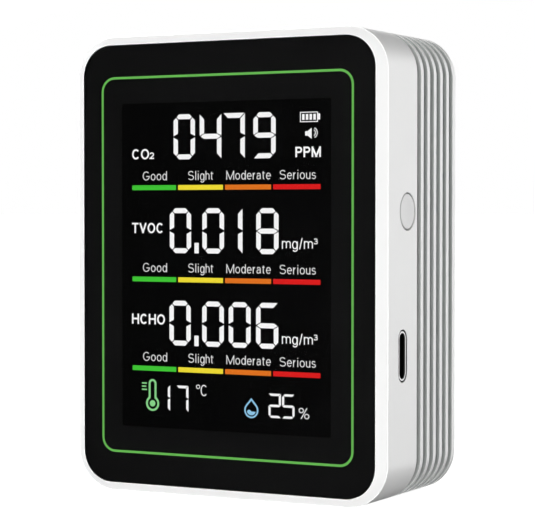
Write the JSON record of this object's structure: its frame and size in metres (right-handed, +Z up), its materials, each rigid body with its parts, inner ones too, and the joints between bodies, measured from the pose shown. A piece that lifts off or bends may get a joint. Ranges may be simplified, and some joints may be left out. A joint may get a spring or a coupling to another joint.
{
  "type": "carbon dioxide monitor",
  "caption": "Free-standing white air quality meter with a bevelled black lens, a lit colour segment display, a grooved rear case, a side power button and a side charging socket.",
  "frame": {"origin": "middle of the footprint, on the surface the monitor stands on", "axes": "+Z up, +X to the right seen from the front, +Y to the back; the display faces -Y"},
  "size_m": [0.0654, 0.0316, 0.0862],
  "materials": {
    "white_plastic": "fine moulded texture",
    "clear_lens": "polished clear acrylic",
    "black_print": "black back print",
    "green_print": "green back print",
    "tape_black": "foam tape",
    "clear_film": "clear adhesive and film",
    "display_glass": "clear glass",
    "segment_white": "lit white segments",
    "segment_colour": "lit colour segments",
    "segment_green": "lit pale green and blue icons",
    "dark_glass": "dark display glass",
    "diffuser": "satin film",
    "acrylic_guide": "clear acrylic",
    "foil": "mirror film",
    "led_package": "phosphor and white resin",
    "tinned_metal": "tin plated",
    "gold_plate": "gold plated",
    "board_green": "solder mask",
    "black_resin": "moulded resin",
    "ceramic_tan": "sintered chip parts",
    "usb_steel": "stainless",
    "button_plastic": "satin",
    "chamber_gold": "gold washed plastic",
    "filter_white": "porous membrane",
    "lamp_glass": "lamp bulb",
    "steel": "zinc plated",
    "cell_plastic": "moulded",
    "pouch_foil": "aluminium laminate",
    "wire_red": "silicone sleeve",
    "connector_ivory": "nylon",
    "mesh_grey": "woven dust mesh"
  },
  "bodies": {
    "case": {"front_case": "white_plastic", "rear_case": "white_plastic", "front_lens": "clear_lens", "lens_print": "black_print", "ring_print": "green_print", "lens_tape": "tape_black", "optical_adhesive": "clear_film", "front_polarizer": "clear_film", "lcd_front_glass": "display_glass", "digit_segments": "segment_white", "level_bars": "segment_colour", "status_icons": "segment_white", "climate_icons": "segment_green", "lcd_rear_glass": "dark_glass", "rear_polarizer": "dark_glass", "diffuser_film": "diffuser", "light_guide": "acrylic_guide", "reflector_film": "foil", "backlight_tray": "cell_plastic", "backlight_leds": "led_package", "lcd_pins": "tinned_metal", "main_board": "board_green", "microcontroller": "black_resin", "board_chips": "black_resin", "small_parts": "ceramic_tan", "buzzer": "black_resin", "usb_shell": "usb_steel", "usb_tongue": "black_resin", "usb_contacts": "gold_plate", "switch_body": "black_resin", "switch_cover": "tinned_metal", "switch_dome": "steel", "switch_leads": "tinned_metal", "co2_board": "board_green", "co2_chamber": "chamber_gold", "co2_filters": "filter_white", "ir_lamp": "lamp_glass", "ir_detector": "steel", "co2_pins": "gold_plate", "tvoc_base": "steel", "tvoc_can": "steel", "hcho_cell": "cell_plastic", "hcho_cap": "cell_plastic", "hcho_pins": "gold_plate", "humidity_sensor": "cell_plastic", "battery_cell": "pouch_foil", "battery_tape": "tape_black", "protection_board": "board_green", "battery_wires": "wire_red", "battery_plug": "connector_ivory", "battery_socket": "connector_ivory", "case_screws": "steel", "board_screws": "steel", "vent_mesh": "mesh_grey"},
    "button": {"power_button": "button_plastic"},
    "plunger": {"switch_plunger": "black_resin"}
  },
  "joints": [
    {"name": "button_press", "type": "slide", "parent": "case", "child": "button", "axis": [-1, 0, 0], "range_m": [0, 0.0003], "stiffness_N_per_m": 6000},
    {"name": "plunger_press", "type": "slide", "parent": "case", "child": "plunger", "axis": [-1, 0, 0], "range_m": [0, 0.0003], "deforming": ["switch_dome"]}
  ],
  "couplings": [
    {"joint": "plunger_press", "follows": "button_press", "ratio": 1}
  ]
}
